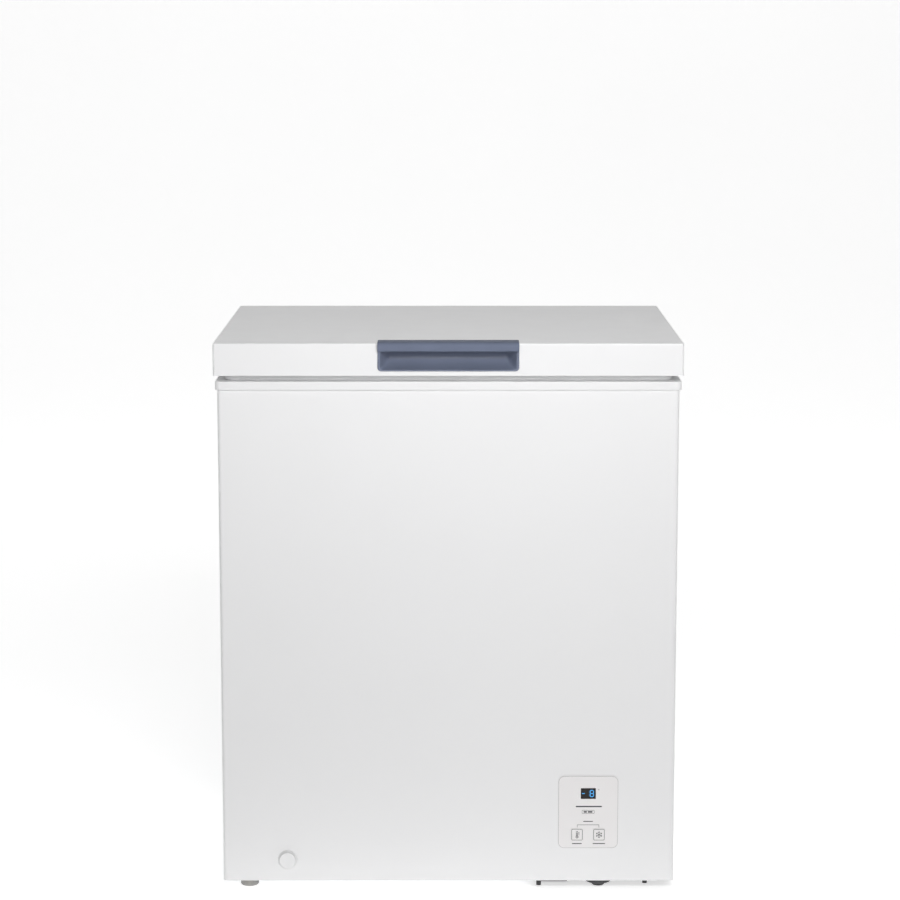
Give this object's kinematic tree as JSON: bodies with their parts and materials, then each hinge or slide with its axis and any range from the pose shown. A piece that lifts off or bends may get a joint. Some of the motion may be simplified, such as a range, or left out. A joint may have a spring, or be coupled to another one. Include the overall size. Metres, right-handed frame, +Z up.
{
  "type": "chest freezer",
  "caption": "Top-opening chest freezer with a sprung hinged lid, recessed front handle, key panel with display, drain, wire basket and levelling feet.",
  "frame": {"origin": "on the floor, under the middle of the whole object's box, lid shut", "axes": "+Z up, the front faces -Y, +X to the right as seen from the front"},
  "size_m": [0.702, 0.5606, 0.8465],
  "materials": {
    "white_enamel": "gloss",
    "galvanised_sheet": "satin",
    "liner_sheet": "satin",
    "white_plastic": "satin",
    "panel_plastic": "satin",
    "foam": "matte",
    "steel_tube": "satin",
    "aluminium_tube": "satin",
    "copper": "satin",
    "black_steel": "satin",
    "black_plastic": "matte",
    "grey_plastic": "matte",
    "black_rubber": "matte",
    "white_cable": "satin",
    "zinc_fastener": "satin",
    "spring_steel": "satin",
    "display_lens": "gloss",
    "board_green": "satin",
    "gasket_vinyl": "matte",
    "handle_blue_grey": "satin",
    "coated_wire": "gloss",
    "foot_light_grey": "matte",
    "foot_dark_grey": "matte"
  },
  "bodies": {
    "cabinet": {"outer_shell": "white_enamel", "back_panel": "galvanised_sheet", "base_panel": "galvanised_sheet", "machine_compartment_panel": "galvanised_sheet", "inner_liner": "liner_sheet", "top_frame": "white_plastic", "cabinet_foam": "foam", "condenser_tube": "steel_tube", "evaporator_tube": "aluminium_tube", "temperature_probe": "copper", "compressor_base_plate": "black_steel", "base_plate_bolts": "black_steel", "compressor": "black_steel", "terminal_cover": "black_plastic", "start_relay": "black_plastic", "compressor_grommets": "black_rubber", "compressor_bolts": "zinc_fastener", "filter_drier": "copper", "capillary_tube": "copper", "suction_tube": "copper", "discharge_tube": "copper", "rear_cover": "grey_plastic", "rear_cover_screws": "zinc_fastener", "cord_gland": "black_rubber", "mains_lead": "black_rubber", "control_lead": "white_cable", "control_bezel": "panel_plastic", "display_window": "display_lens", "display_module": "black_plastic", "key_switches": "black_plastic", "circuit_board": "board_green", "control_box": "grey_plastic", "drain_collar": "white_plastic", "drain_tube": "grey_plastic", "foot_nuts": "zinc_fastener", "hinge_brackets": "zinc_fastener", "hinge_pins": "zinc_fastener", "hinge_plungers": "grey_plastic", "hinge_springs": "spring_steel", "hinge_covers": "white_plastic", "bracket_hinge_screws": "zinc_fastener"},
    "lid": {"lid_skin": "white_enamel", "lid_inner_panel": "white_plastic", "lid_foam": "foam", "lid_gasket": "gasket_vinyl", "gasket_magnets": "black_rubber", "lid_handle": "handle_blue_grey", "hinge_leaves": "zinc_fastener", "lid_hinge_screws": "zinc_fastener"},
    "basket": {"wire_basket": "coated_wire"},
    "drain_spout": {"drain_spout": "white_plastic"},
    "drain_dial": {"drain_dial": "white_plastic"},
    "drain_stopper": {"drain_stopper": "gasket_vinyl"},
    "temp_key": {"temp_set_button": "panel_plastic"},
    "freeze_key": {"super_freeze_button": "panel_plastic"},
    "front_left_foot": {"front_left_foot": "foot_light_grey"},
    "rear_left_foot": {"rear_left_foot": "foot_light_grey"},
    "front_right_foot": {"front_right_foot": "foot_dark_grey"},
    "rear_right_foot": {"rear_right_foot": "foot_dark_grey"}
  },
  "joints": [
    {"name": "lid_hinge", "type": "hinge", "parent": "cabinet", "child": "lid", "pos_m": [0, 0.27075, 0.795], "axis": [-1, 0, 0], "range_deg": [0, 85]},
    {"name": "basket_slide", "type": "slide", "parent": "cabinet", "child": "basket", "axis": [1, 0, 0], "range_m": [0, 0.25]},
    {"name": "drain_spout_slide", "type": "slide", "parent": "cabinet", "child": "drain_spout", "axis": [0, -1, 0], "range_m": [0, 0.02]},
    {"name": "drain_dial_turn", "type": "hinge", "parent": "drain_spout", "child": "drain_dial", "pos_m": [-0.2467, -0.27125, 0.0467], "axis": [0, -1, 0], "range_deg": [0, 180]},
    {"name": "drain_stopper_lift", "type": "slide", "parent": "cabinet", "child": "drain_stopper", "axis": [0, 0, 1], "range_m": [0, 0.03]},
    {"name": "temp_key_press", "type": "slide", "parent": "cabinet", "child": "temp_key", "axis": [0, 1, 0], "range_m": [0, 0.0008], "stiffness_N_per_m": 1500, "springref_m": -0.0005},
    {"name": "freeze_key_press", "type": "slide", "parent": "cabinet", "child": "freeze_key", "axis": [0, 1, 0], "range_m": [0, 0.0008], "stiffness_N_per_m": 1500, "springref_m": -0.0005},
    {"name": "front_left_foot_turn", "type": "hinge", "parent": "cabinet", "child": "front_left_foot", "pos_m": [-0.3068, -0.24425, 0], "axis": [0, 0, 1], "range_deg": [-180, 180]},
    {"name": "rear_left_foot_turn", "type": "hinge", "parent": "cabinet", "child": "rear_left_foot", "pos_m": [-0.3068, 0.23275, 0], "axis": [0, 0, 1], "range_deg": [-180, 180]},
    {"name": "front_right_foot_turn", "type": "hinge", "parent": "cabinet", "child": "front_right_foot", "pos_m": [0.231, -0.24425, 0], "axis": [0, 0, 1], "range_deg": [-180, 180]},
    {"name": "rear_right_foot_turn", "type": "hinge", "parent": "cabinet", "child": "rear_right_foot", "pos_m": [0.231, 0.23275, 0], "axis": [0, 0, 1], "range_deg": [-180, 180]}
  ]
}
